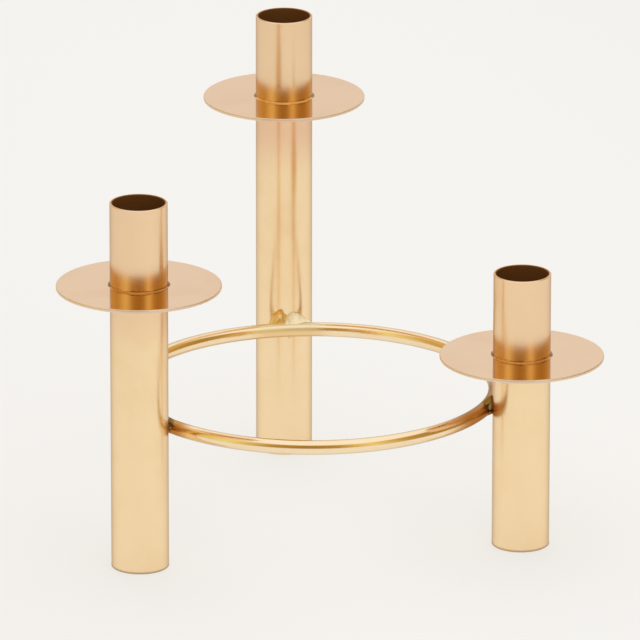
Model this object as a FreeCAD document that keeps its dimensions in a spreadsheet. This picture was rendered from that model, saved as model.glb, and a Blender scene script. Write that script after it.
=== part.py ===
# Candelabra for three taper candles, all of it in millimetres.
#
# Three lengths of round tube stand on the floor as legs, spaced round a ring of
# bent rod that runs close inside them and is brazed to them. The short leg is a
# few degrees nearer to the tall one than to the middle one. A flat round drip
# pan closes the top of each leg, and a short piece of the same tube is brazed on
# the pan as the candle's socket. Nothing on the object moves.
#
# The origin is on the floor at the axis of the ring. +Z is up, and the tallest
# leg stands on +Y.

import FreeCAD, Part
import math
import os
import Sketcher

doc = FreeCAD.newDocument("candelabra")

# Driving dimensions: name, value, what it is
DIMENSIONS = [
    ("tube_diameter", 25.4, "outside diameter of the leg and socket tube"),
    ("tube_wall", 1.2, "wall of the leg and socket tube"),
    ("tube_edge_break", 0.25, "chamfer on the sawn ends of the tubes"),
    ("tall_leg_length", 165.5, "floor to the underside of the tall leg's pan"),
    ("middle_leg_length", 128.4, "floor to the underside of the middle leg's pan"),
    ("short_leg_length", 86.7, "floor to the underside of the short leg's pan"),
    ("socket_height", 37.5, "top of the pan to the mouth of the candle socket"),
    ("pan_diameter", 72.5, "outside diameter of a drip pan"),
    ("pan_thickness", 1.5, "sheet of a drip pan"),
    ("pan_edge_round", 0.5, "rounding of the rim of a drip pan"),
    ("rod_diameter", 6.35, "rod of the connecting ring"),
    ("ring_radius", 81.4, "axis of the ring to the middle of its rod"),
    ("ring_height", 61.3, "floor to the middle of the ring's rod"),
    ("ring_joint_gap", 0.8, "gap between rod and leg that the braze fills"),
    ("tall_leg_bearing", 90.0, "direction of the tall leg, degrees from +X"),
    ("middle_leg_bearing", 212.0, "direction of the middle leg, degrees from +X"),
    ("short_leg_bearing", 332.5, "direction of the short leg, degrees from +X"),
    ("socket_braze_leg", 0.9, "reach of the braze round the foot of a socket"),
    ("pan_braze_leg", 0.7, "reach of the braze round the top of a leg"),
    ("braze_hollow_radius", 2.0, "hollow face of both brazes at the pans"),
    ("ring_braze_size", 6.0, "length that the beads at the ring are drawn to"),
]

sheet = doc.addObject("Spreadsheet::Sheet", "sizes")
for row, (alias, number, meaning) in enumerate(DIMENSIONS, start=1):
    sheet.set("A%d" % row, alias)
    sheet.set("B%d" % row, str(number))
    sheet.set("C%d" % row, meaning)
    sheet.setAlias("B%d" % row, alias)
doc.recompute()

# Sizes that follow from the driving ones
TUBE_RADIUS = "sizes.tube_diameter / 2"
BORE_RADIUS = "(sizes.tube_diameter / 2 - sizes.tube_wall)"
RING_CONTACT_RADIUS = "(sizes.ring_radius + sizes.rod_diameter / 2)"
LEG_CIRCLE_RADIUS = "(%s + sizes.ring_joint_gap + %s)" % (RING_CONTACT_RADIUS, TUBE_RADIUS)
# An edge is broken by its own size, as far as its wall leaves room for two
EDGE_SHARE = 0.45
TUBE_EDGE_BREAK = "min(sizes.tube_edge_break; %g * sizes.tube_wall)" % EDGE_SHARE
PAN_EDGE_ROUND = "min(sizes.pan_edge_round; %g * sizes.pan_thickness)" % EDGE_SHARE

# Beads of braze at the ring, as lobes in shares of ring_braze_size. Each lobe
# is an ellipsoid: its centre's offset from the contact of rod and leg, outward,
# along the ring and upward, then its half sizes in the same three directions.
TALL_BEAD_SHARES = [
    (-0.10, -0.55, 0.38, 0.60, 0.86, 0.82),
    (-0.02, -1.20, 0.34, 0.50, 0.52, 0.40),
    (-0.02, 0.62, 0.50, 0.42, 0.56, 0.78),
    (-0.08, 0.00, -0.36, 0.50, 0.80, 0.38),
]
MIDDLE_BEAD_SHARES = [
    (-0.08, 0.04, 0.38, 0.56, 0.84, 0.52),
    (-0.04, 0.62, 0.30, 0.44, 0.50, 0.42),
    (-0.08, -0.08, -0.36, 0.50, 0.66, 0.36),
]
SHORT_BEAD_SHARES = [
    (-0.12, 0.02, 0.38, 0.60, 0.78, 0.56),
    (-0.06, -0.56, 0.34, 0.46, 0.50, 0.44),
    (-0.06, 0.06, -0.38, 0.50, 0.68, 0.38),
]

# The legs in order round the ring: name, length, direction and bead
LEGS = [
    ("tall", "sizes.tall_leg_length", "sizes.tall_leg_bearing", TALL_BEAD_SHARES),
    ("middle", "sizes.middle_leg_length", "sizes.middle_leg_bearing", MIDDLE_BEAD_SHARES),
    ("short", "sizes.short_leg_length", "sizes.short_leg_bearing", SHORT_BEAD_SHARES),
]

nodes = []


def value(expression):
    """The number that an expression on the sheet gives."""
    return float(sheet.evalExpression(expression))


def origin_plane(body, role):
    """The origin plane of a body that has this role, such as XY_Plane."""
    return next(item for item in body.Origin.OriginFeatures if item.Role == role)


def new_body(label):
    """An empty body that is one sub-part."""
    body = doc.addObject("PartDesign::Body", label)
    body.Label = label
    nodes.append(body)
    return body


def new_sketch(body, name, role):
    """A sketch on one of the body's origin planes."""
    sketch = body.newObject("Sketcher::SketchObject", name)
    sketch.AttachmentSupport = (origin_plane(body, role), [""])
    sketch.MapMode = "FlatFace"
    return sketch


def bind(sketch, name, expression, kind, *where):
    """Add a named dimension to a sketch and bind it to the sheet."""
    index = sketch.addConstraint(Sketcher.Constraint(kind, *where, value(expression)))
    sketch.renameConstraint(index, name)
    sketch.setExpression("Constraints." + name, expression)


def add_circle(sketch, name, radius_expression):
    """A circle about the sketch's origin, with its radius bound to the sheet."""
    outline = Part.Circle(FreeCAD.Vector(), FreeCAD.Vector(0, 0, 1), value(radius_expression))
    circle = sketch.addGeometry(outline, False)
    sketch.addConstraint(Sketcher.Constraint("Coincident", circle, 3, -1, 1))
    bind(sketch, name, radius_expression, "Radius", circle)


def stand_on_leg(item, bearing, height_expression):
    """Place a sub-part on the axis of the leg in this direction, at this height."""
    item.setExpression("Placement.Base.x", "%s * cos(%s)" % (LEG_CIRCLE_RADIUS, bearing))
    item.setExpression("Placement.Base.y", "%s * sin(%s)" % (LEG_CIRCLE_RADIUS, bearing))
    item.setExpression("Placement.Base.z", height_expression)


def circular_edges(feature):
    """Names of a feature's round edges."""
    edges = feature.Shape.Edges
    return ["Edge%d" % (i + 1) for i, edge in enumerate(edges) if edge.Curve.TypeId == "Part::GeomCircle"]


def make_tube(label, length_expression):
    """A sawn length of tube with its edges broken, standing on its own origin."""
    body = new_body(label)
    sketch = new_sketch(body, label + "_section", "XY_Plane")
    add_circle(sketch, "outside", TUBE_RADIUS)
    add_circle(sketch, "inside", BORE_RADIUS)
    pad = body.newObject("PartDesign::Pad", label + "_length")
    pad.Profile = sketch
    pad.setExpression("Length", length_expression)
    doc.recompute()
    chamfer = body.newObject("PartDesign::Chamfer", label + "_edges")
    chamfer.Base = (pad, circular_edges(pad))
    chamfer.setExpression("Size", TUBE_EDGE_BREAK)
    return body


def make_pan(label):
    """A flat round disc with a rounded rim."""
    body = new_body(label)
    sketch = new_sketch(body, label + "_outline", "XY_Plane")
    add_circle(sketch, "rim", "sizes.pan_diameter / 2")
    pad = body.newObject("PartDesign::Pad", label + "_sheet")
    pad.Profile = sketch
    pad.setExpression("Length", "sizes.pan_thickness")
    doc.recompute()
    rim = body.newObject("PartDesign::Fillet", label + "_rim")
    rim.Base = (pad, circular_edges(pad))
    rim.setExpression("Radius", PAN_EDGE_ROUND)
    return body


def make_braze_ring(label, reach_expression, upward):
    """Braze in the corner of a tube and a pan: two straight sides and a hollow face.

    The corner is at the origin's height. The braze climbs the tube where upward is
    1 and hangs below the pan where it is -1.
    """
    body = new_body(label)
    sketch = new_sketch(body, label + "_section", "XZ_Plane")
    tube_radius = value(TUBE_RADIUS)
    reach = value(reach_expression)
    hollow_radius = value("sizes.braze_hollow_radius")
    corner = FreeCAD.Vector(tube_radius, 0, 0)
    pan_end = FreeCAD.Vector(tube_radius + reach, 0, 0)
    tube_end = FreeCAD.Vector(tube_radius, upward * reach, 0)
    # The hollow's centre is on the corner's bisector, one radius from both ends
    aside = reach / 2 + math.sqrt((hollow_radius ** 2 - reach ** 2 / 2) / 2)
    centre = corner + FreeCAD.Vector(aside, upward * aside, 0)
    # A sketch's arc runs anticlockwise, so its first end depends on the side
    first, last = (tube_end, pan_end) if upward > 0 else (pan_end, tube_end)
    angles = [math.atan2((end - centre).y, (end - centre).x) for end in (first, last)]
    circle = Part.Circle(centre, FreeCAD.Vector(0, 0, 1), hollow_radius)
    on_pan = sketch.addGeometry(Part.LineSegment(corner, pan_end), False)
    on_tube = sketch.addGeometry(Part.LineSegment(corner, tube_end), False)
    face = sketch.addGeometry(Part.ArcOfCircle(circle, *angles), False)
    tube_side, pan_side = (1, 2) if upward > 0 else (2, 1)
    sketch.addConstraint(Sketcher.Constraint("Coincident", on_pan, 1, on_tube, 1))
    sketch.addConstraint(Sketcher.Constraint("Coincident", on_pan, 2, face, pan_side))
    sketch.addConstraint(Sketcher.Constraint("Coincident", on_tube, 2, face, tube_side))
    sketch.addConstraint(Sketcher.Constraint("PointOnObject", on_pan, 1, -1))
    sketch.addConstraint(Sketcher.Constraint("Horizontal", on_pan))
    sketch.addConstraint(Sketcher.Constraint("Vertical", on_tube))
    bind(sketch, "tube_radius", TUBE_RADIUS, "DistanceX", -1, 1, on_pan, 1)
    bind(sketch, "pan_reach", reach_expression, "Distance", on_pan)
    bind(sketch, "tube_reach", reach_expression, "Distance", on_tube)
    bind(sketch, "hollow_radius", "sizes.braze_hollow_radius", "Radius", face)
    ring = body.newObject("PartDesign::Revolution", label + "_turned")
    ring.Profile = sketch
    ring.ReferenceAxis = (sketch, ["V_Axis"])
    return body


def make_connecting_ring():
    """The ring of rod, closed on itself."""
    ring = doc.addObject("Part::Torus", "connecting_ring")
    ring.Label = "connecting_ring"
    ring.setExpression("Radius1", "sizes.ring_radius")
    ring.setExpression("Radius2", "sizes.rod_diameter / 2")
    ring.setExpression("Placement.Base.z", "sizes.ring_height")
    nodes.append(ring)
    return ring


def make_bead_cutters():
    """A leg and the ring as they lie where +X points out through the leg."""
    leg = doc.addObject("Part::Cylinder", "leg_cutter")
    leg.setExpression("Radius", TUBE_RADIUS)
    leg.setExpression("Height", "2 * sizes.ring_height")
    leg.setExpression("Placement.Base.x", LEG_CIRCLE_RADIUS)
    ring = doc.addObject("Part::Torus", "ring_cutter")
    ring.setExpression("Radius1", "sizes.ring_radius")
    ring.setExpression("Radius2", "sizes.rod_diameter / 2")
    ring.setExpression("Placement.Base.z", "sizes.ring_height")
    return leg, ring


def make_ring_braze(label, bearing, lobe_shares, cutters):
    """A bead of braze that fills the corner between the rod and one leg.

    Its lobes run into each other, and what the leg and the rod take up is cut away,
    so the bead seats on both.
    """
    lobes = []
    for number, shares in enumerate(lobe_shares, start=1):
        out, along, up, half_out, half_along, half_up = shares
        lobe = doc.addObject("Part::Ellipsoid", "%s_lobe_%d" % (label, number))
        lobe.setExpression("Radius1", "%g * sizes.ring_braze_size" % half_up)
        lobe.setExpression("Radius2", "%g * sizes.ring_braze_size" % half_out)
        lobe.setExpression("Radius3", "%g * sizes.ring_braze_size" % half_along)
        lobe.setExpression("Placement.Base.x", "%s + %g * sizes.ring_braze_size" % (RING_CONTACT_RADIUS, out))
        lobe.setExpression("Placement.Base.y", "%g * sizes.ring_braze_size" % along)
        lobe.setExpression("Placement.Base.z", "sizes.ring_height + %g * sizes.ring_braze_size" % up)
        lobes.append(lobe)
    bead = doc.addObject("Part::MultiFuse", label + "_lobes")
    bead.Shapes = lobes
    for cutter in cutters:
        cut = doc.addObject("Part::Cut", "%s_less_%s" % (label, cutter.Name))
        cut.Base = bead
        cut.Tool = cutter
        bead = cut
    bead.Label = label
    bead.setExpression("Placement.Rotation.Angle", bearing)
    nodes.append(bead)
    return bead


make_connecting_ring()
bead_cutters = make_bead_cutters()
for name, length, bearing, bead_shares in LEGS:
    pan_top = length + " + sizes.pan_thickness"
    stand_on_leg(make_tube(name + "_leg_tube", length), bearing, "0")
    stand_on_leg(make_braze_ring(name + "_pan_braze", "sizes.pan_braze_leg", -1), bearing, length)
    stand_on_leg(make_pan(name + "_drip_pan"), bearing, length)
    stand_on_leg(make_braze_ring(name + "_socket_braze", "sizes.socket_braze_leg", 1), bearing, pan_top)
    stand_on_leg(make_tube(name + "_candle_socket", "sizes.socket_height"), bearing, pan_top)
    make_ring_braze(name + "_ring_braze", bearing, bead_shares, bead_cutters)
doc.recompute()

# Every object has to be sound before anything is written
failed = [item.Label for item in doc.Objects if "Invalid" in item.State or "Error" in item.State]
if failed:
    raise RuntimeError("objects that failed: " + ", ".join(failed))
for node in nodes:
    if node.Shape.isNull() or not node.Shape.isValid() or len(node.Shape.Solids) != 1:
        raise RuntimeError(node.Label + " isn't one valid solid")

os.makedirs("parts", exist_ok=True)
for node in nodes:
    node.Shape.exportStep(os.path.join("parts", node.Label + ".step"))
    box = node.Shape.optimalBoundingBox()
    print("%-22s %9.1f mm3  x %7.2f %7.2f  y %7.2f %7.2f  z %7.2f %7.2f" % (
        node.Label, node.Shape.Volume, box.XMin, box.XMax, box.YMin, box.YMax, box.ZMin, box.ZMax))
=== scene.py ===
# %% [markdown]
# # A three-light brass candelabra
# Three upright brass tubes of different lengths stand around one bent rod. Each
# tube carries a round drip pan with a short tube on it, the socket that holds a
# taper candle. The solids come packed from the CAD step and are loaded as a fixed
# frame. This lesson gives them their finish, replaces the brazed joints by beads
# with the ripples of real brazing, and lights the whole for its picture.

import bpy
import numpy as np
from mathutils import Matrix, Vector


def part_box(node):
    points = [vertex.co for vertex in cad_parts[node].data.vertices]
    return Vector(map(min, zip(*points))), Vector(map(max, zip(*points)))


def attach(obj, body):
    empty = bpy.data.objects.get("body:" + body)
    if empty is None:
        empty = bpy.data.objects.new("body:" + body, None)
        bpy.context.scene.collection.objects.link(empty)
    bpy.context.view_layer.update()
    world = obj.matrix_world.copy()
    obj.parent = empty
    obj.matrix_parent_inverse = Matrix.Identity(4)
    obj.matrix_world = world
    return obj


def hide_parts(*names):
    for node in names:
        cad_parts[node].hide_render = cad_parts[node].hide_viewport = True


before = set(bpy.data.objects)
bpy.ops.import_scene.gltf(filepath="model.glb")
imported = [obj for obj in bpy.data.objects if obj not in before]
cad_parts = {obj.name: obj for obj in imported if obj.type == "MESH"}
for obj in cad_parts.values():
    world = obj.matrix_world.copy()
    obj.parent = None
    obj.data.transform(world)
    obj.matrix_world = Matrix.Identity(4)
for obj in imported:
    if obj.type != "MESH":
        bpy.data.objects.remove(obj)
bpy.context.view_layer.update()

# %% [markdown]
# ## The legs
# Every tube, pan and bead is round about the axis of its own leg, so that axis is
# the one thing that the later cells need to know. It could be typed in again from
# the drawing, but then it could disagree with the solids. It is measured from them:
# the middle of a tube's box is the tube's axis.

# %% Measure the legs
LEGS = ("tall", "middle", "short")
MM = 1000.0  # millimetres in a metre


def leg_plan(leg):
    """Axis, radius and heights of one leg, in metres, from the boxes of its solids."""
    low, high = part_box(f"{leg}_leg_tube")
    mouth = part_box(f"{leg}_candle_socket")[1].z
    pan_low, pan_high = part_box(f"{leg}_drip_pan")
    return {
        "axis": ((low.x + high.x) / 2, (low.y + high.y) / 2),
        "radius": (high.x - low.x) / 2,
        "pan_radius": (pan_high.x - pan_low.x) / 2,
        "pan_bottom": pan_low.z,
        "pan_top": pan_high.z,
        "mouth": mouth,
    }


plans = {leg: leg_plan(leg) for leg in LEGS}
for leg, plan in plans.items():
    print(leg, {key: np.round(value, 5).tolist() for key, value in plan.items()})

# %% [markdown]
# ## The camera
# The photograph was taken with a long lens from well above the table, a little to
# the left. A camera could be placed by eye, but the three mouths, three pans and
# three feet are at known places in the solids, so their places in the picture fix
# it: 18.4 degrees above level, 7.6 degrees round to the left, 4.41 metres away.

# %% Where the camera stands
CAMERA_TURN = np.radians(-7.567)
CAMERA_RISE = np.radians(18.4354)
CAMERA_ROLL = np.radians(0.0586)
CAMERA_DISTANCE = 4.4115
AIM_ACROSS, AIM_HEIGHT = 0.00339, 0.09282


def camera_matrix():
    """World matrix of a camera that looks at the aim point from its turn and rise.

    Its back axis points from the aim to the camera. Its right axis is level, its up
    axis is back crossed with right, and both are then turned by the roll.
    """
    sin_turn, cos_turn = np.sin(CAMERA_TURN), np.cos(CAMERA_TURN)
    sin_rise, cos_rise = np.sin(CAMERA_RISE), np.cos(CAMERA_RISE)
    back = np.array([sin_turn * cos_rise, -cos_turn * cos_rise, sin_rise])
    right = np.array([cos_turn, sin_turn, 0.0])
    up = np.cross(back, right)
    aim = right * AIM_ACROSS + np.array([0.0, 0.0, AIM_HEIGHT])
    matrix = np.eye(4)
    matrix[:3, 0] = np.cos(CAMERA_ROLL) * right + np.sin(CAMERA_ROLL) * up
    matrix[:3, 1] = np.cos(CAMERA_ROLL) * up - np.sin(CAMERA_ROLL) * right
    matrix[:3, 2] = back
    matrix[:3, 3] = aim + back * CAMERA_DISTANCE
    return matrix


print("camera at", np.round(camera_matrix()[:3, 3], 3).tolist())

# %% [markdown]
# A lens of half a metre on film 36 mm wide sounds odd, but it is what a crop from
# the middle of a wider picture amounts to. The film stays at its usual width, so
# that the lens alone says how much is in view.

# %% Make the camera
CAMERA_LENS, CAMERA_FILM = 559.94, 36.0
CAMERA_REACH = 50.0

camera_data = bpy.data.cameras.new("camera")
camera_data.lens = CAMERA_LENS
camera_data.sensor_width = CAMERA_FILM
camera_data.clip_end = CAMERA_REACH
camera = bpy.data.objects.new("camera", camera_data)
camera.matrix_world = camera_matrix().T.tolist()
bpy.context.scene.collection.objects.link(camera)
bpy.context.scene.camera = camera
print("camera has a lens of", CAMERA_LENS, "mm")

# %% [markdown]
# ## Sums on shader sockets
# A finish is a small graph of shader nodes. Nodes could be added and linked one by
# one, which hides the formula in plumbing. Here a socket is wrapped so that it can
# be added, multiplied and compared like a number, and each sum adds its own Math
# node.

# %% Shader sockets that can be calculated with
class Wire:
    """One output socket. Arithmetic on it adds Math nodes to its node tree."""

    def __init__(self, graph, socket):
        self.graph, self.socket = graph, socket

    def math(self, operation, *inputs, clamp=False):
        """The result of one Math node, whose inputs may be Wires or numbers."""
        settings = {"operation": operation, "use_clamp": clamp}
        return self.graph.node("ShaderNodeMath", settings, dict(enumerate(inputs)))

    def __add__(self, other):
        return self.math("ADD", self, other)

    def __sub__(self, other):
        return self.math("SUBTRACT", self, other)

    def __rsub__(self, other):
        return self.math("SUBTRACT", other, self)

    def __mul__(self, other):
        return self.math("MULTIPLY", self, other)

    def __pow__(self, other):
        return self.math("POWER", self, other)

    __radd__, __rmul__ = __add__, __mul__

    def cosine(self):
        return self.math("COSINE", self)

    def clamped(self):
        """The value, kept between 0 and 1."""
        return self.math("ADD", self, 0.0, clamp=True)

    def rise(self, start, end):
        """0 up to start, 1 from end, with a smooth slope between. start may be above end."""
        inputs = {"Value": self, "From Min": start, "From Max": end}
        settings = {"interpolation_type": "SMOOTHSTEP"}
        return self.graph.node("ShaderNodeMapRange", settings, inputs)


def distance(*parts):
    """The root of the sum of squared Wires: how far a point lies from an axis or a point."""
    squares = [part * part for part in parts]
    return sum(squares[1:], squares[0]) ** 0.5


print("sums on sockets ready")

# %% [markdown]
# Every other node goes through one method, which takes the node's type, its
# settings and what its sockets hold. The settings come first, because they decide
# which sockets the node has. The four kinds that the finishes use again and again,
# a mix of colours, a noise, a centred pattern and the parts of a vector, get a short
# method each.

# %% A graph of nodes
def fill_ramp(ramp, stops):
    """Gives a colour ramp its stops, from pairs of place and colour in rising order."""
    while len(ramp.elements) < len(stops):
        ramp.elements.new(1.0)
    for element, (place, colour) in zip(ramp.elements, stops):
        element.position, element.color = place, colour


class Graph:
    """A node tree that is filled by calls of node()."""

    def __init__(self, tree):
        self.tree = tree
        tree.nodes.clear()

    def node(self, kind, settings=None, inputs=None, output=0):
        """Adds a node, sets it up, fills its sockets, and returns one output as a Wire."""
        made = self.tree.nodes.new(kind)
        for name, value in (settings or {}).items():
            if name == "stops":
                fill_ramp(made.color_ramp, value)
            else:
                setattr(made, name, value)
        by_name = {socket.identifier: socket for socket in made.inputs}
        for key, value in (inputs or {}).items():
            if isinstance(key, int):
                socket = made.inputs[key]
            else:
                socket = by_name.get(key) or made.inputs[key]
            if isinstance(value, Wire):
                self.tree.links.new(value.socket, socket)
            else:
                socket.default_value = value
        return Wire(self, made.outputs[output]) if made.outputs else None

    def mix(self, share, first, second):
        """A colour that goes from first to second as share goes from 0 to 1."""
        inputs = {"Factor_Float": share, "A_Color": first, "B_Color": second}
        return self.node("ShaderNodeMix", {"data_type": "RGBA"}, inputs, 2)

    def noise(self, where, scale, detail, roughness):
        """Smooth random values round 0.5, at the given number of lumps per metre."""
        inputs = {"Vector": where, "Scale": scale, "Detail": detail, "Roughness": roughness}
        return self.node("ShaderNodeTexNoise", {"noise_dimensions": "3D"}, inputs)

    def placed(self, centre=(0.0, 0.0, 0.0), scale=(1.0, 1.0, 1.0)):
        """Object coordinates, moved so that centre is at the origin, then scaled."""
        where = self.node("ShaderNodeTexCoord", {}, {}, "Object")
        shift = tuple(-value * factor for value, factor in zip(centre, scale))
        return self.node("ShaderNodeMapping", {}, {0: where, "Location": shift, "Scale": scale})

    def parts(self, vector):
        """The x, y and z of a vector, as three Wires."""
        first = self.node("ShaderNodeSeparateXYZ", {}, {0: vector})
        outputs = first.socket.node.outputs
        return [Wire(self, outputs[index]) for index in range(3)]


print("graph of nodes ready")

# %% [markdown]
# All the metal here ends in the same Principled shader. The tube, pan and rod
# finishes have clouds, where lacquer and fingers have left the tone a little deeper,
# and all but the rod's have a fine relief. Both could be painted, but a noise in the
# object's own coordinates has no seam and is the same from every side.

# %% Finishes, clouds and relief
# Detail and roughness of the clouds, and the slope on which their deeper tone comes in.
CLOUD_NOISE = (3.0, 0.55)
CLOUD_SLOPE = (-0.1, 0.25)
# Fine lines are noise too, with one lump per unit of coordinates that are stretched.
LINE_NOISE = (1.0, 3.0, 0.6)
FINE_RELIEF = 0.0001


def new_finish(name):
    """A material with an empty graph, and that graph."""
    material = bpy.data.materials.new(name)
    material.use_nodes = True
    return material, Graph(material.node_tree)


def close_finish(graph, **sockets):
    """Ends a graph with a Principled shader, given by socket names with _ for spaces."""
    inputs = {name.replace("_", " "): value for name, value in sockets.items()}
    shader = graph.node("ShaderNodeBsdfPrincipled", {}, inputs)
    graph.node("ShaderNodeOutputMaterial", {}, {"Surface": shader})


def clouded(graph, where, lumps, share, plain, deep):
    """A tone that goes toward a deeper one in clouds, and the noise that places them.

    The deeper tone rises smoothly to its share as the noise, less its middle of 0.5,
    climbs the cloud slope. lumps counts them per metre.
    """
    clouds = graph.noise(where, lumps, *CLOUD_NOISE)
    deeper = (clouds - 0.5).rise(*CLOUD_SLOPE) * share
    return graph.mix(deeper, plain, deep), clouds


def relief(graph, height, strength, depth=FINE_RELIEF):
    """A normal tipped by a height from 0 to 1 that stands for the depth in metres."""
    inputs = {"Strength": strength, "Distance": depth, "Height": height}
    return graph.node("ShaderNodeBump", {}, inputs)


def dress(name, material):
    """Gives a CAD solid its finish through its own material slots."""
    for material_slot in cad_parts[name].material_slots:
        material_slot.material = material


print("finish helpers ready")

# %% [markdown]
# ## Tube brass
# The legs and sockets are drawn brass tube, buffed on a wheel while turning and
# then lacquered. Three marks are laid on their tone. Each socket is a little warmer
# than its leg, the top of a leg is darker just below the pan, the tall leg's most,
# and the two near legs have painted shade along the edge of the foot, where the tube
# meets the floor. Each mark could be a material of its own on its own faces, but none
# has a hard line, so each is a share that rises smoothly with the height.

# %% Marks on the tubes: a darker top below the pan and painted shade at the foot
SOCKET_WARM = (0.935, 0.675, 0.430, 1.0)
SOCKET_SHARE = 0.9
# A darker tone just below each pan, the tall leg's most.
UNDER_PAN_TONE = (0.897, 0.605, 0.391, 1.0)
# How far down from the pan the darker tone reaches, and its share there.
UNDER_PAN_REACH = {"tall": (0.036, 1.0), "middle": (0.028, 0.55), "short": (0.010, 0.3)}
UNDER_PAN_CORE = 0.3
PAN_SEAT = 0.0005
# Painted contact shade along the foot's edge, where the tube meets the floor, and its share on
# each leg: none on the tall one.
FOOT_SHADE = (0.560, 0.400, 0.220, 1.0)
FOOT_SHADE_SHARE = {"tall": 0.0, "middle": 1.0, "short": 1.0}
FOOT_EDGE = (0.0014, 0.0004)


def marks_by_height(leg, z):
    """Shares, from 0 to 1, of the darker top, the socket and the foot's painted shade at a
    height.

    The darker tone is full from the pan down to a share of its reach, the core, and
    has faded out at its reach. The socket begins within the pan's thickness. The
    foot's painted shade is full along its edge and has faded out a millimetre above.
    """
    plan = plans[leg]
    reach, share = UNDER_PAN_REACH[leg]
    below = plan["pan_bottom"] - z
    darkened = below.rise(reach, reach * UNDER_PAN_CORE) * below.rise(-PAN_SEAT, 0.0) * share
    socket = z.rise(plan["pan_bottom"], plan["pan_top"]) * SOCKET_SHARE
    foot = z.rise(*FOOT_EDGE) * FOOT_SHADE_SHARE[leg]
    return darkened, socket, foot


for leg in LEGS:
    # Per leg: how far the darker tone below the pan reaches, and the share of painted shade at
    # the foot.
    print(leg, "leg heated over", UNDER_PAN_REACH[leg][0] * MM, "mm, foot wear", FOOT_SHADE_SHARE[leg])

# %% [markdown]
# The wheel leaves fine lines round the tube, and the bore was never polished: it is
# dull brown inside. A picture wrapped round the tube could show all that, but it
# would have a seam. Here the distance from the leg's axis tells the bore from the
# outside, and noise that is stretched round the axis draws the buffing.

# %% Tube brass
BRASS = (0.980, 0.760, 0.470, 1.0)
BRASS_DEEP = (0.940, 0.670, 0.370, 1.0)
BRASS_RIM = (0.620, 0.560, 0.540, 1.0)
BORE_BROWN = (0.190, 0.072, 0.013, 1.0)
RIM_DEPTH, BORE_BLEND = 0.0006, 0.0003
BORE_TARNISH = 0.6
TUBE_LUMPS, TUBE_CLOUDS = 60.0, 0.35
TUBE_LINES = (120.0, 120.0, 9000.0)
TUBE_RELIEF = 0.05
TUBE_MATT, CLOUD_MATT, LINE_MATT = 0.23, 0.10, 0.08
BORE_MATT, FOOT_MATT = 0.4, 0.15


def tube_brass(leg):
    """The finish of one leg's tubes, centred on that leg's axis.

    The tone is laid over in turn by the darker top, the socket, the foot's painted
    shade and the bore, which begins where a point is deeper than the rim inside the
    tube's radius.
    The roughness is that of polished tube, with a little more or less where the
    clouds and the lines swing from their middle of 0.5, and more in the bore and at
    the foot.
    """
    material, graph = new_finish(f"{leg}_tube_brass")
    centre = (*plans[leg]["axis"], 0.0)
    where = graph.placed(centre)
    x, y, z = graph.parts(where)
    bore_limit = plans[leg]["radius"] - RIM_DEPTH
    bore = distance(x, y).rise(bore_limit, bore_limit - BORE_BLEND)
    # The top of the leg is darker just below the pan.
    darkened, socket, foot = marks_by_height(leg, z)
    tone, clouds = clouded(graph, where, TUBE_LUMPS, TUBE_CLOUDS, BRASS, BRASS_DEEP)
    # At the foot the tone is laid over with painted shade, where the tube meets the floor.
    for share, tint in (
        (darkened, UNDER_PAN_TONE), (socket, SOCKET_WARM), (foot, FOOT_SHADE), (bore, BORE_BROWN)
    ):
        tone = graph.mix(share, tone, tint)
    lines = graph.noise(graph.placed(centre, TUBE_LINES), *LINE_NOISE)
    polish = TUBE_MATT + (clouds - 0.5) * CLOUD_MATT + (lines - 0.5) * LINE_MATT
    close_finish(
        graph, Base_Color=tone, Metallic=1.0 - bore * BORE_TARNISH,
        Roughness=polish + bore * BORE_MATT + foot * FOOT_MATT,
        Specular_Tint=BRASS_RIM, Normal=relief(graph, lines, TUBE_RELIEF),
    )
    return material


for leg in LEGS:
    finish = tube_brass(leg)
    dress(f"{leg}_leg_tube", finish)
    dress(f"{leg}_candle_socket", finish)
    print("dressed the", leg, "tubes")

# %% [markdown]
# ## Pan brass
# A drip pan is a disc of sheet, polished brighter than the tubes, so that it mirrors
# its socket. The polishing leaves fine rings about its centre, and its cut edge is
# paler and only satin. Rings could be modelled as grooves, but they are far too fine
# for that. They are noise read along the distance from the axis, with a slow drift
# across the disc, so that no ring closes on itself like a drawn circle.

# %% Pan brass
PAN_ROSE = (0.926, 0.686, 0.480, 1.0)
PAN_DEEP = (0.840, 0.560, 0.360, 1.0)
PAN_EDGE = (0.860, 0.690, 0.540, 1.0)
PAN_RIM = (0.850, 0.800, 0.780, 1.0)
PAN_LUMPS, PAN_CLOUDS = 45.0, 0.3
RING_LINES, RING_DRIFT = 4000.0, 30.0
PAN_RELIEF = 0.04
EDGE_DEPTH = 0.00060
PAN_MATT, PAN_CLOUD_MATT, RING_MATT, EDGE_MATT = 0.10, 0.06, 0.04, 0.34


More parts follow.
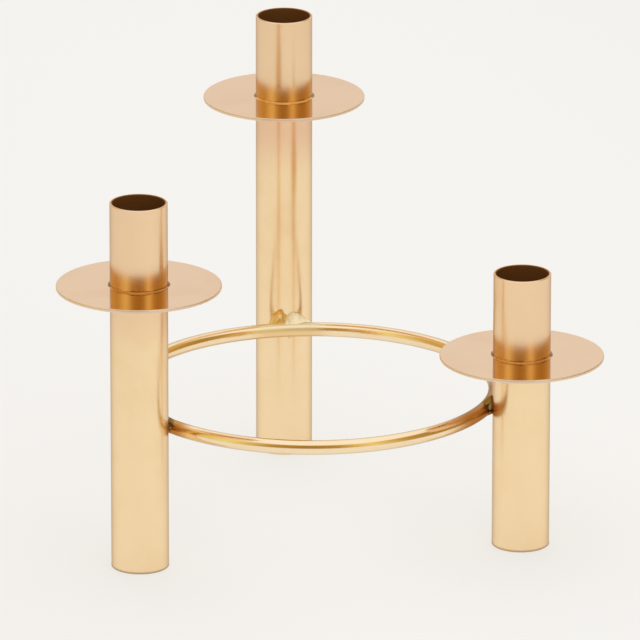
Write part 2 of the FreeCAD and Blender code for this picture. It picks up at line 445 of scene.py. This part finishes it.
def pan_brass(leg):
    """The finish of one pan: rings about the leg's axis, and a pale satin cut edge.

    The edge begins at the pan's radius less the edge's depth, and is full half way
    from there to the rim.
    """
    material, graph = new_finish(f"{leg}_pan_brass")
    plan = plans[leg]
    where = graph.placed((*plan["axis"], 0.0))
    x, y = graph.parts(where)[:2]
    radius = distance(x, y)
    spun = {0: radius * RING_LINES, 1: x * RING_DRIFT, 2: y * RING_DRIFT}
    rings = graph.noise(graph.node("ShaderNodeCombineXYZ", {}, spun), *LINE_NOISE)
    face, clouds = clouded(graph, where, PAN_LUMPS, PAN_CLOUDS, PAN_ROSE, PAN_DEEP)
    edge = radius.rise(plan["pan_radius"] - EDGE_DEPTH, plan["pan_radius"] - EDGE_DEPTH / 2)
    polish = PAN_MATT + (clouds - 0.5) * PAN_CLOUD_MATT + (rings - 0.5) * RING_MATT
    close_finish(
        graph, Base_Color=graph.mix(edge, face, PAN_EDGE), Metallic=1.0,
        Roughness=polish + edge * EDGE_MATT, Specular_Tint=PAN_RIM,
        Normal=relief(graph, rings, PAN_RELIEF),
    )
    return material


for leg in LEGS:
    dress(f"{leg}_drip_pan", pan_brass(leg))
    print("dressed the", leg, "pan")

# %% [markdown]
# ## The ring's own place
# The ring is drawn rod, bent round a former and closed. Each leg stands a little off
# its outside, and braze bridges the gap. The beads there could be shaped in the
# room's own directions, but they are easier to think of from the point of the rod's
# middle line that is nearest to the leg: one axis points out through the leg, one
# along the rod, one up.

# %% Measure the ring
ring_low, ring_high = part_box("connecting_ring")
ROD_RADIUS = (ring_high.z - ring_low.z) / 2
RING_RADIUS = (ring_high.x - ring_low.x) / 2 - ROD_RADIUS
RING_HEIGHT = (ring_high.z + ring_low.z) / 2


def joint_frame(leg):
    """The point of the rod's middle line nearest to a leg, and out, along and up there."""
    axis = np.array(plans[leg]["axis"])
    out = np.array([*(axis / np.hypot(*axis)), 0.0])
    along = np.array([-out[1], out[0], 0.0])
    up = np.array([0.0, 0.0, 1.0])
    return out * RING_RADIUS + up * RING_HEIGHT, np.stack([out, along, up])


for leg in LEGS:
    print(leg, "joint at", np.round(joint_frame(leg)[0] * MM, 2), "mm")

# %% [markdown]
# ## Rod brass
# Drawing leaves the rod smooth and bright. Beside each joint the flame has dulled
# and browned it, so its gloss fades near a joint. The three joints took unequal
# heat, and each gets its own reach and its own tints, one for the underside and one
# for the top. Near the tall leg the top tint is much paler, a painted highlight.
# Three materials on three stretches of rod would show where they meet, so one
# material fades from joint to joint.

# %% Rod brass
ROD_BRASS = (0.970, 0.785, 0.530, 1.0)
ROD_DEEP = (0.940, 0.700, 0.420, 1.0)
ROD_LUMPS, ROD_CLOUDS = 90.0, 0.3
ROD_MATT = 0.16
# How far the heat reached, the tint under the rod and on top of it, with a painted
# highlight on top near the tall leg, and the dullness.
ROD_HEAT_AND_HIGHLIGHT = {
    "tall": (0.022, (0.930, 0.680, 0.360, 1.0), (1.000, 0.930, 0.700, 1.0), 0.26),
    "middle": (0.017, (0.680, 0.380, 0.130, 1.0), (0.680, 0.380, 0.130, 1.0), 0.25),
    "short": (0.040, (0.560, 0.300, 0.110, 1.0), (0.600, 0.340, 0.140, 1.0), 0.16),
}
ROD_HEAT_CORE = 0.45
TOP_FROM, TOP_FULL = -0.0002, 0.0014


def near_point(graph, point, reach):
    """1 within the core's share of the reach of a point, falling smoothly to 0 at it."""
    away = distance(*graph.parts(graph.placed(tuple(point))))
    return away.rise(reach, reach * ROD_HEAT_CORE)


def rod_brass():
    """The rod's finish: bright, with a dull heat-tinted stretch where each leg is brazed on.

    The top of the rod is told from its underside by the height above its middle line.
    Near the tall leg its top tint is a painted highlight.
    """
    material, graph = new_finish("rod_brass")
    tone, clouds = clouded(graph, graph.placed(), ROD_LUMPS, ROD_CLOUDS, ROD_BRASS, ROD_DEEP)
    roughness = ROD_MATT + (clouds - 0.5) * CLOUD_MATT
    height = graph.parts(graph.placed())[2]
    top = height.rise(RING_HEIGHT + TOP_FROM, RING_HEIGHT + TOP_FULL)
    for leg, (reach, under_tint, top_tint_and_highlight, dullness) in ROD_HEAT_AND_HIGHLIGHT.items():
        heat = near_point(graph, joint_frame(leg)[0], reach)
        # On top of the rod near the tall leg the tint is a painted highlight.
        tone = graph.mix(heat, tone, graph.mix(top, under_tint, top_tint_and_highlight))
        roughness = roughness + heat * dullness
    close_finish(
        graph, Base_Color=tone, Metallic=1.0, Roughness=roughness, Specular_Tint=BRASS_RIM
    )
    return material


dress("connecting_ring", rod_brass())
print("dressed the ring")

# %% [markdown]
# ## Braze
# Braze is run into each joint with a flame. It is silver-gold where it flowed clean,
# coppery gold at the pans, brown where it was overheated, and dark with glassy flux
# along the edge where it meets the wall, a dark that also paints the shade in that
# crease. Round a pan it is painted darkest at the two sides that face left and right
# of the camera, as shade. Each colour could be a material, but on real braze they run
# into each other, so one finish mixes them by noise and by the two UV values that the
# beads bring with them.

# %% Braze finish
BRAZE_PALE = (1.000, 0.940, 0.700, 1.0)
BRAZE_GOLD = (0.920, 0.640, 0.290, 1.0)
BRAZE_BROWN = (0.340, 0.230, 0.100, 1.0)
# Dark of the flux, also used for painted shade in the crease at the wall and at a ring's two
# sides.
FLUX_AND_SHADE = (0.110, 0.050, 0.018, 1.0)
# Lumps per metre, detail and roughness of the noise behind the patches and the spots.
PATCH_NOISE = (330.0, 3.0, 0.6)
SPOT_NOISE = (480.0, 2.0, 0.5)
GOLD_BLEND = 0.04
BROWN_SLOPE = (0.35, 0.65)
FLUX_AND_SHADE_SLOPE = (0.55, 0.75)
# How far from the wall the flux and the painted shade in that crease reach.
EDGE_FLUX_AND_SHADE_REACH, EDGE_FLUX_AND_SHADE_SPREAD = 0.22, 0.3
FLUX_TARNISH, FLUX_MATT, PATCH_MATT = 0.3, 0.10, 0.12
# Where on a ring, as a share of a turn, its painted shade sits at the sides that face left and
# right of the camera, and how it comes in.
SIDE_SHADE_PLACE = 0.479
SIDE_SHADE_SLOPE = (0.86, 0.98)
BRAZE_RELIEF, BRAZE_DEPTH = 0.15, 0.0002


def braze_finish(name, brown, flux, edge, gold_from, side_shade_share=0.0, matt=0.26, gold=BRAZE_GOLD):
    """Braze whose shares, from 0 to 1, say how far brown stain, dark flux and painted shade
    spread.

    The second UV value is 0 along the edge where the braze meets the tube, so flux is
    likeliest there, together with painted shade in that crease, and edge says by how
    much. The first runs along the bead: past the share gold_from, which stayed hot
    longer, the braze has the deeper gold. Round a ring it is a share of a turn, and the
    share after gold_from says how dark the painted shade is at the two opposite sides
    that face left and right of the camera, where the squared cosine of the turn from
    there is near 1. matt is the least roughness.
    """
    material, graph = new_finish(name)
    where = graph.placed()
    along, across = graph.parts(graph.node("ShaderNodeTexCoord", {}, {}, "UV"))[:2]
    patches = graph.noise(where, *PATCH_NOISE)
    spots = graph.noise(where, *SPOT_NOISE)
    clean = graph.mix(along.rise(gold_from, gold_from + GOLD_BLEND), BRAZE_PALE, gold)
    tone = graph.mix((patches + (brown - 0.5)).rise(*BROWN_SLOPE), clean, BRAZE_BROWN)
    # Flux along the wall edge, which also paints the shade in the crease there.
    wall_flux_and_shade = across.rise(EDGE_FLUX_AND_SHADE_REACH + edge * EDGE_FLUX_AND_SHADE_SPREAD, 0.0) * edge
    dark = (spots + wall_flux_and_shade + (flux - 0.5)).rise(*FLUX_AND_SHADE_SLOPE)
    # Painted shade at a ring's two sides, left and right as the camera sees them.
    side_shade = ((along - SIDE_SHADE_PLACE) * (2.0 * np.pi)).cosine()
    dark = (dark + (side_shade * side_shade).rise(*SIDE_SHADE_SLOPE) * side_shade_share).clamped()
    close_finish(
        graph, Base_Color=graph.mix(dark, tone, FLUX_AND_SHADE),
        Metallic=1.0 - dark * FLUX_TARNISH,
        Roughness=matt + patches * PATCH_MATT + dark * FLUX_MATT,
        Normal=relief(graph, patches, BRAZE_RELIEF, BRAZE_DEPTH),
    )
    return material


print("braze finish ready")

# %% [markdown]
# ## Surfaces from grids
# A bead is a section carried along the joint, so its points lie on a grid: one row
# for each place along the joint, one column for each point of the section. It could
# be sculpted by hand, but then it would fit one size only. Worked out, it follows the
# solids. What is uneven about it comes from sums of sines whose phases are drawn from
# a fixed seed, so that every run makes the same bead.

# %% Waves and grids
WAVE_SUM = 2.5


def waves(angle, seed, orders=(2, 3, 5, 8, 13)):
    """A sum of sines of the angle with fixed random phases, brought to about -1 to 1."""
    phases = np.random.default_rng(seed).uniform(0.0, 2.0 * np.pi, len(orders))
    return sum(np.sin(order * angle + phase) for order, phase in zip(orders, phases)) / WAVE_SUM


def grid_faces(rows, columns, close_rows=False, close_columns=False):
    """Corner numbers of the quads between the points of a grid, as an array of fours."""
    number = np.arange(rows * columns).reshape(rows, columns)
    if close_rows:
        number = np.concatenate([number, number[:1]], axis=0)
    if close_columns:
        number = np.concatenate([number, number[:, :1]], axis=1)
    corners = [number[:-1, :-1], number[1:, :-1], number[1:, 1:], number[:-1, 1:]]
    return np.stack(corners, axis=-1).reshape(-1, 4)


print("a closed grid of 3 by 4 points has", len(grid_faces(3, 4, True, True)), "faces")

# %% [markdown]
# A mesh gets its points and faces in one call, and its UV in another. Blender keeps
# UV by the corners of faces, not by points, so the shares of the points are handed
# out to the corners. A finished bead then rides on the frame and stands for the
# plain bead of the solids.

# %% From arrays to pieces
def uv_mesh(name, points, faces, shares):
    """A mesh of points and faces whose UV is given by one pair of shares for each point."""
    mesh = bpy.data.meshes.new(name)
    mesh.from_pydata(points.reshape(-1, 3).tolist(), [], [list(face) for face in faces])
    corner_points = np.zeros(len(mesh.loops), dtype=np.int32)
    mesh.loops.foreach_get("vertex_index", corner_points)
    corner_shares = shares.reshape(-1, 2)[corner_points]
    layer = mesh.uv_layers.new(name="shares")
    layer.data.foreach_set("uv", corner_shares.ravel().astype(np.float32))
    return mesh


def new_piece(name, mesh, material, node):
    """A smooth object in the frame that rides on the root and stands for one CAD node."""
    mesh.shade_smooth()
    mesh.materials.append(material)
    made = bpy.data.objects.new(name, mesh)
    bpy.context.scene.collection.objects.link(made)
    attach(made, "root")
    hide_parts(node)
    return made


print("piece helpers ready")

# %% [markdown]
# ## Rings of braze at the pans
# Braze that has flowed well round a tube is a thin hollow fillet, a millimetre high,
# with a slightly wavy edge. A torus pressed into the corner could stand for it, but
# it would bulge where real braze is hollow. Here each section is drawn as a hollow
# curve from wall to pan, and two sets of waves make it a little larger and smaller
# on its way round.

# %% Shape of a ring of braze
RING_STEPS, FACE_STEPS = 240, 11
HOLLOW = 2.6
BITE = 0.00012
OUT_WAVES, UP_WAVES = 0.16, 0.20
SWELL, SWELL_ORDERS = 0.05, (7, 11, 16)
# UV of the three points with which a section returns inside the metal.
HIDDEN_SHARES = np.array([[1.0, 0.5, 0.0]])


def braze_ring(leg, height, side, size, seed):
    """Points of a hollow fillet round a tube, between its wall and a pan, and their shares.

    The section runs from the wall out to the pan on a curve whose two coordinates are
    s and 1 - s, each raised to the power HOLLOW, and returns inside the pan and the
    wall. Its width on the pan and its climb up the wall are the given size, made larger
    and smaller round the tube by waves. side is 1 above the pan and -1 under it.
    """
    turn = np.linspace(0.0, 2.0 * np.pi, RING_STEPS, endpoint=False)[:, None]
    share = np.linspace(0.0, 1.0, FACE_STEPS)[None, :]
    width = size * (1.0 + OUT_WAVES * waves(turn, seed))
    climb = size * (1.0 + UP_WAVES * waves(turn, seed + 1))
    swell = SWELL * np.sin(np.pi * share) * (1.0 + waves(turn, seed + 2, SWELL_ORDERS))
    face_out = width * (share ** HOLLOW + swell)
    face_up = climb * ((1.0 - share) ** HOLLOW + swell)
    hidden_out = width * np.array([[1.0, 0.0, 0.0]]) - BITE * np.array([[0.0, 1.0, 1.0]])
    hidden_up = climb * np.array([[0.0, 0.0, 1.0]]) - BITE * np.array([[1.0, 1.0, 0.0]])
    out = np.concatenate([face_out, hidden_out], axis=1) + plans[leg]["radius"]
    up = np.concatenate([face_up, hidden_up], axis=1)
    x = plans[leg]["axis"][0] + out * np.cos(turn)
    y = plans[leg]["axis"][1] + out * np.sin(turn)
    across = np.concatenate([share, HIDDEN_SHARES], axis=1)
    shares = np.stack(np.broadcast_arrays(turn / (2.0 * np.pi), across), axis=-1)
    return np.stack([x, y, height + side * up], axis=-1), shares


print("a ring has", RING_STEPS, "sections of", FACE_STEPS + HIDDEN_SHARES.size, "points")

# %% [markdown]
# Each leg has two such rings, one round the foot of the socket above the pan and one
# round the top of the leg under it, in one finish, because they were fed from the
# same stick at the same heat. The three legs took unequal heat, which shows in how
# deep the gold is.

# %% Rings of braze at the pans
SOCKET_FILLET = 0.00090
PAN_FILLET = 0.00070
FOOT_GOLD = {
    "tall": (0.900, 0.530, 0.190, 1.0),
    "middle": (0.690, 0.350, 0.110, 1.0),
    "short": (0.760, 0.410, 0.140, 1.0),
}

for seed, leg in enumerate(LEGS):
    plan = plans[leg]
    # The foot rings get painted shade at their two sides and, with the flux, along the wall.
    foot_braze = braze_finish(
        f"{leg}_foot_braze", brown=0.24, flux=0.03, edge=0.70, gold_from=-1.0,
        side_shade_share=0.75, gold=FOOT_GOLD[leg],
    )
    for side, kind, height, size in (
        (1, "socket", plan["pan_top"], SOCKET_FILLET),
        (-1, "pan", plan["pan_bottom"], PAN_FILLET),
    ):
        points, shares = braze_ring(leg, height, side, size, 10 * seed + 3 * side + 3)
        faces = grid_faces(*points.shape[:2], close_rows=True, close_columns=True)
        faces = faces[:, ::-1] if side == 1 else faces
        mesh = uv_mesh(f"{leg}_{kind}_bead", points, faces, shares)
        made = new_piece(mesh.name, mesh, foot_braze, f"{leg}_{kind}_braze")
        print(made.name, len(mesh.polygons), "faces")

# %% [markdown]
# ## Beads between the ring and the legs
# Here braze climbs the tube's wall and wets the rod, so between them its surface is
# a fillet, hollow where there is little of it and full where it was fed on. The
# beads differ, because they were fed by hand. They could be sculpted, or joined from
# balls, but a fillet with humps keeps its seat on both pieces. Its height on the
# tube's wall is a sum of humps along the rod. A hump has a place, a width and a
# height, all in millimetres, with the place counted along the rod from the joint,
# then a sharpness, low for a peak and high for a round shoulder, and a share by which
# the fillet swells out there.

# %% Humps of the beads
# Where a bead starts and stops along the rod, its humps, and how full it is between
# them: 0 is hollow, 0.5 flat and 1 a lump. The side is 1 above the rod, -1 under it.
BEAD_HUMPS = {
    ("tall", 1): (-10.5, 8.8, [(-3.0, 4.8, 4.6, 2.1, 0.1), (4.6, 3.2, 5.4, 3.0, 0.5)], 0.45),
    ("tall", -1): (-3.0, 3.5, [(-0.6, 1.5, 3.3, 2.0, 0.0)], 0.30),
    ("middle", 1): (-5.0, 5.5, [(0.0, 4.0, 3.0, 2.6, 0.0), (2.5, 2.0, 1.2, 2.6, 0.1)], 0.45),
    ("middle", -1): (-3.4, 4.0, [(1.0, 3.0, -1.4, 2.6, 0.0)], 0.20),
    ("short", 1): (-4.0, 4.6, [(-0.3, 3.6, 4.4, 2.6, 0.1), (-2.4, 2.0, 0.6, 2.6, 0.1)], 0.46),
    ("short", -1): (-4.2, 4.0, [(-1.0, 3.0, -1.4, 2.6, 0.0)], 0.20),
}
LEAST_CLIMB = 0.8
RIPPLE, RIPPLE_SEED, RIPPLE_ORDERS = 0.03, 7, (1.3, 2.1, 3.4)


def climb_and_fullness(place, humps, fullness):
    """How high the braze climbs the wall at each place along the rod, and how full it is.

    The climb is a share of the rod's radius plus the humps. Each hump is its height
    times e to the power -r, where r is the distance from its place, counted in its
    widths and raised to its sharpness. Waves then ripple the climb a little.
    """
    climb = ROD_RADIUS * MM * LEAST_CLIMB
    for centre, width, height, sharpness, swell in humps:
        bump = np.exp(-np.abs((place - centre) / width) ** sharpness)
        climb = climb + bump * height
        fullness = fullness + bump * swell
    return climb * (1.0 + RIPPLE * waves(place, RIPPLE_SEED, RIPPLE_ORDERS)), fullness


for (leg, side), (start, stop, humps, fullness) in BEAD_HUMPS.items():
    climb = climb_and_fullness(np.linspace(start, stop), humps, fullness)[0]
    print(leg, "bead", "above" if side == 1 else "under", "climbs", round(climb.max(), 1), "mm")

# %% [markdown]
# A section is then drawn at each place: a curve from the wall to the rod, bent toward
# their corner or away from it. It doesn't stop there, because an open sheet would
# show its edge. It goes on inside the rod and the wall, out of sight, until it closes
# on itself.

# %% Sections of a bead
WALL_BITE = 0.5
TUCK = 0.2
WET_ANGLE = np.radians(24.0)
LEAST_END = 1e-4
END_HEIGHT, END_SHARPNESS = 0.4, 0.45
SHARE_LENGTH = 30.0


def bent(t, first, corner, last):
    """A curve from first to last toward corner, weighted (1 - t)^2, 2 t (1 - t) and t^2."""
    return (1 - t) ** 2 * first + 2 * t * (1 - t) * corner + t ** 2 * last


def fillet_sections(leg, side, start, stop, humps, fullness, rows=81, columns=17):
    """Points of the fillet between the rod and one tube, and their shares.

    At each place along the rod a curve goes from the wall, at the height that the
    humps give, to the rod, a little past its top. Its middle control point moves from
    the inner corner of the box between those two, where fullness is 0, to the outer
    corner, where it is 1. The curve returns inside the rod and the wall. Toward both
    ends the section shrinks to a point inside the rod. side is 1 above the rod and -1
    under it. Lengths are in millimetres, as the humps are, until the last step. The
    first share is a half at the joint and grows by 1 over SHARE_LENGTH of rod.
    """
    rod, ring, tube = ROD_RADIUS * MM, RING_RADIUS * MM, plans[leg]["radius"] * MM
    gap = np.hypot(*plans[leg]["axis"]) * MM - ring
    quarter = np.pi / 2 * np.linspace(-1.0, 1.0, rows)[:, None]
    place = (start + stop) / 2 + (stop - start) / 2 * np.sin(quarter)
    end = np.clip(np.cos(quarter), LEAST_END, 1.0)
    middle = np.sqrt(ring ** 2 - place ** 2) - ring
    wall = gap - np.sqrt(np.clip(tube ** 2 - place ** 2, 0.0, None))
    climb, fullness = climb_and_fullness(place, humps, fullness)
    wet = WET_ANGLE * end
    rod_out, rod_up = middle - rod * np.sin(wet), rod * np.cos(wet)
    t = np.linspace(0.0, 1.0, columns)[None, :]
    out = bent(t, wall, wall + (rod_out - wall) * fullness, rod_out)
    up = bent(t, climb, rod_up + (climb - rod_up) * fullness, rod_up)
    hidden_out = np.concatenate([middle, wall + WALL_BITE, wall + WALL_BITE], axis=1)
    hidden_up = np.concatenate([0.0 * middle, 0.0 * middle, climb - TUCK], axis=1)
    out = np.concatenate([out, hidden_out], axis=1)
    up = np.concatenate([up, hidden_up], axis=1)
    out = middle + (out - middle) * end ** END_SHARPNESS
    up = rod * END_HEIGHT + (up - rod * END_HEIGHT) * end ** END_SHARPNESS
    across = np.concatenate([t, HIDDEN_SHARES], axis=1)
    shares = np.stack(np.broadcast_arrays(place / SHARE_LENGTH + 0.5, across), axis=-1)
    local = np.stack(np.broadcast_arrays(out, place, side * up), axis=-1) / MM
    origin, axes = joint_frame(leg)
    return origin + local @ axes, shares


print("bead sections ready")

# %% [markdown]
# The fillet above the rod and the one under it are two closed shells in one mesh,
# because they are one run of braze. The one under the rod is the mirror image of its
# kind, so its faces are turned over to point outwards again.

# %% Join a leg's two fillets
def fillet_faces(rows, columns, side):
    """Quads round and along a fillet, and one face over each end, all facing outwards."""
    quads = grid_faces(rows, columns, close_columns=True)
    first, last = np.arange(columns), np.arange(columns) + (rows - 1) * columns
    if side == 1:
        return [*quads.tolist(), first.tolist(), last[::-1].tolist()]
    return [*quads[:, ::-1].tolist(), first[::-1].tolist(), last.tolist()]


def bead_mesh(leg):
    """One mesh of a leg's fillets above and under the rod, the second counted on."""
    points, shares, faces = [], [], []
    for side in (1, -1):
        sections, section_shares = fillet_sections(leg, side, *BEAD_HUMPS[leg, side])
        first = sum(len(part) for part in points)
        corners = fillet_faces(*sections.shape[:2], side)
        faces += [[first + corner for corner in face] for face in corners]
        points.append(sections.reshape(-1, 3))
        shares.append(section_shares.reshape(-1, 2))
    return uv_mesh(f"{leg}_ring_bead", np.concatenate(points), faces, np.concatenate(shares))


bead_braze = {
    "tall": braze_finish(
        "tall_bead_braze", brown=0.02, flux=0.26, edge=0.20, gold_from=0.55, matt=0.34
    ),
    # The middle bead's dark brown is flux and also painted shade where the rod meets the leg.
    "middle": braze_finish(
        "middle_bead_braze", brown=0.95, flux=0.50, edge=0.3, gold_from=2.0, matt=0.34
    ),
    "short": braze_finish("short_bead_braze", brown=0.95, flux=0.36, edge=0.3, gold_from=2.0),
}
for leg in LEGS:
    mesh = bead_mesh(leg)
    made = new_piece(mesh.name, mesh, bead_braze[leg], f"{leg}_ring_braze")
    print(made.name, len(mesh.polygons), "faces")

# %% [markdown]
# ## Floor
# The picture shows a white room without a corner: the paper of the floor runs out of
# sight. It could be lit until it is white, but so much light would bleach the brass.
# So the paper takes the candelabra's shadow as any matt paper does, and a share of
# its white is its own, shown only to the camera and to mirrors.

# %% Floor
FLOOR_WHITE = (0.913, 0.896, 0.863, 1.0)
FLOOR_RADIUS = 14.0
OWN_WHITE = 0.72


def disc_mesh(name, radius, sides=96):
    """A flat disc: points at equal angles on a circle of the given radius, as one face."""
    turn = np.linspace(0.0, 2.0 * np.pi, sides, endpoint=False)
    points = np.stack([radius * np.cos(turn), radius * np.sin(turn), 0.0 * turn], axis=1)
    mesh = bpy.data.meshes.new(name)
    mesh.from_pydata(points.tolist(), [], [list(range(sides))])
    return mesh


def staged(name, mesh, material):
    """An object of the stage, which isn't part of the candelabra."""
    made = bpy.data.objects.new(name, mesh)
    mesh.materials.append(material)
    bpy.context.scene.collection.objects.link(made)
    return made


def seen_rays(graph):
    """1 for camera, glossy and transmission rays, 0 for the rays that carry light about."""
    path = graph.node("ShaderNodeLightPath").socket.node.outputs
    kinds = ("Camera", "Glossy", "Transmission")
    rays = [Wire(graph, path[f"Is {kind} Ray"]) for kind in kinds]
    return (rays[0] + rays[1] + rays[2]).clamped()


def floor_paper():
    """Matt white paper. Where it is seen, a share of it shows its own white, lit or not."""
    material, graph = new_finish("floor_paper")
    matt = graph.node("ShaderNodeBsdfDiffuse", {}, {"Color": FLOOR_WHITE})
    white = graph.node("ShaderNodeEmission", {}, {"Color": FLOOR_WHITE, "Strength": 1.0})
    share = seen_rays(graph) * OWN_WHITE
    paper = graph.node("ShaderNodeMixShader", {}, {0: share, 1: matt, 2: white})
    graph.node("ShaderNodeOutputMaterial", {}, {"Surface": paper})
    return material


staged("floor", disc_mesh("floor", FLOOR_RADIUS), floor_paper())
print("floor", FLOOR_RADIUS, "m in radius")

# %% [markdown]
# ## Light of the room
# A white room lights a thing from all sides at once. One world colour could do both
# jobs, to light the brass and to be seen behind it, but a world as bright as the
# picture's white would light it too strongly. The world therefore has two levels,
# one for the rays that carry light about and one for those that see it.

# %% World
ROOM_WHITE = (0.921, 0.905, 0.871, 1.0)
SKY_WHITE = (1.0, 1.0, 1.0, 1.0)
SKY_LEVEL = 0.40

world = bpy.data.worlds.new("room")
bpy.context.scene.world = world
world.use_nodes = True
room = Graph(world.node_tree)
light = room.node("ShaderNodeBackground", {}, {"Color": SKY_WHITE, "Strength": SKY_LEVEL})
picture = room.node("ShaderNodeBackground", {}, {"Color": ROOM_WHITE, "Strength": 1.0})
sky = room.node("ShaderNodeMixShader", {}, {0: seen_rays(room), 1: light, 2: picture})
room.node("ShaderNodeOutputWorld", {}, {"Surface": sky})
print("world lights at", SKY_LEVEL)

# %% [markdown]
# Soft light from above gives the pans their even shine and the floor its faint
# shadow. A bare lamp would do it with a hard glint, so photographers hang a wide
# panel. Here are two: the wide one gives the light and stays out of the mirrors, and
# a dim one, a little nearer to the camera, can be seen in them.

# %% Overhead panels
def overhead_panel(name, middle, width, length, level, mirrored):
    """A level rectangle of light that faces down, as bright all over as its level says.

    Its power is its level times pi times its area.
    """
    data = bpy.data.lights.new(name, "AREA")
    data.shape, data.size, data.size_y = "RECTANGLE", width, length
    data.energy = level * np.pi * width * length
    lamp = bpy.data.objects.new(name, data)
    lamp.location = middle
    lamp.visible_camera = False
    lamp.visible_glossy = mirrored
    bpy.context.scene.collection.objects.link(lamp)
    print(name, "gives", round(data.energy, 2), "watts")


overhead_panel(
    "wide_panel", middle=(0.06, 0.25, 0.65), width=0.90, length=2.60, level=1.10,
    mirrored=False,
)
overhead_panel(
    "near_panel", middle=(0.06, 0.20, 0.66), width=0.70, length=1.60, level=0.10,
    mirrored=True,
)

# %% [markdown]
# Polished metal shows what stands round it. In an all-white room it would look flat,
# and the real one stood in a room with something brown in it, lighter in two strips.
# A picture of a room could be wrapped round the scene, but a band of a sphere with a
# ramp of browns says the same in one short table. Only mirrors see it: it is hidden
# from the camera, gives no light and throws no shadow.

# %% Shape of the room band
def band_mesh(name, middle_turn, half_turn, low_rise, high_rise, radius, steps=49):
    """A band of a sphere round the candelabra, with a UV from -1 to 1 each way.

    A point's turn and rise, in degrees, grow evenly with its two UV values. It lies at
    the sine and minus the cosine of its turn, both times the cosine of its rise, at the
    sine of its rise in height, and all that times the radius of the sphere.
    """
    line = np.linspace(-1.0, 1.0, steps)
    across, up = np.meshgrid(line, line, indexing="ij")
    turn = np.radians(middle_turn + half_turn * across)
    rise = np.radians((low_rise + high_rise) / 2 + (high_rise - low_rise) / 2 * up)
    points = radius * np.stack(
        [np.sin(turn) * np.cos(rise), -np.cos(turn) * np.cos(rise), np.sin(rise)], axis=-1
    )
    faces = grid_faces(steps, steps).tolist()
    return uv_mesh(name, points, faces, np.stack([across, up], axis=-1))


print("band helper ready")

# %% [markdown]
# The ramp runs round the band from one end to the other. Its middle is behind the
# camera and darkest, the two lighter strips stand either side of that, and both ends
# are lighter again. At its four edges the band fades out, so that no mirror shows
# where it stops.

# %% Browns of the room band
ROOM_TONES = [
    (0.00, (0.84, 0.66, 0.32, 1.0)), (0.10, (0.74, 0.53, 0.20, 1.0)),
    (0.20, (0.60, 0.39, 0.10, 1.0)), (0.33, (0.92, 0.80, 0.33, 1.0)),
    (0.42, (0.48, 0.29, 0.07, 1.0)), (0.49, (0.38, 0.22, 0.04, 1.0)),
    (0.55, (0.46, 0.28, 0.07, 1.0)), (0.62, (0.92, 0.74, 0.30, 1.0)),
    (0.70, (0.52, 0.31, 0.07, 1.0)), (0.77, (0.42, 0.25, 0.05, 1.0)),
    (0.84, (0.50, 0.30, 0.07, 1.0)), (0.92, (0.70, 0.49, 0.18, 1.0)),
    (1.00, (0.82, 0.64, 0.30, 1.0)),
]
SIDE_FADE, TOP_FADE, FOOT_FADE = 0.85, 0.6, -0.8


def room_dark():
    """Browns along the band that fade out at its four edges.

    The UV goes from -1 to 1. Its first value, halved and moved up by a half, is the
    place on the ramp, and its size past SIDE_FADE fades the two ends.
    """
    material, graph = new_finish("room_dark")
    across, up = graph.parts(graph.node("ShaderNodeTexCoord", {}, {}, "UV"))[:2]
    ends = distance(across).rise(1.0, SIDE_FADE)
    solid = ends * up.rise(1.0, TOP_FADE) * up.rise(-1.0, FOOT_FADE)
    tone = graph.node("ShaderNodeValToRGB", {"stops": ROOM_TONES}, {0: across * 0.5 + 0.5})
    clear = graph.node("ShaderNodeBsdfTransparent")
    brown_glow = graph.node("ShaderNodeEmission", {}, {"Color": tone, "Strength": 1.0})
    mixed = graph.node("ShaderNodeMixShader", {}, {0: solid, 1: clear, 2: brown_glow})
    graph.node("ShaderNodeOutputMaterial", {}, {"Surface": mixed})
    return material


room_mesh = band_mesh(
    "room_band", middle_turn=-7.8, half_turn=150.0, low_rise=-2.0, high_rise=54.0, radius=1.6
)
room_band = staged("room_band", room_mesh, room_dark())
room_band.visible_camera = False
room_band.visible_diffuse = False
room_band.visible_transmission = False
room_band.visible_shadow = False
print("room band", len(room_mesh.polygons), "faces")

# %% [markdown]
# ## Picture settings
# Blender can bend a picture's tones as film does, which looks pleasant but shifts
# every colour. The Standard transform shows each colour as it was written, so a tone
# that is set here stays what it is.

# %% Picture settings
scene = bpy.context.scene
scene.view_settings.view_transform = "Standard"
print("view transform:", scene.view_settings.view_transform)
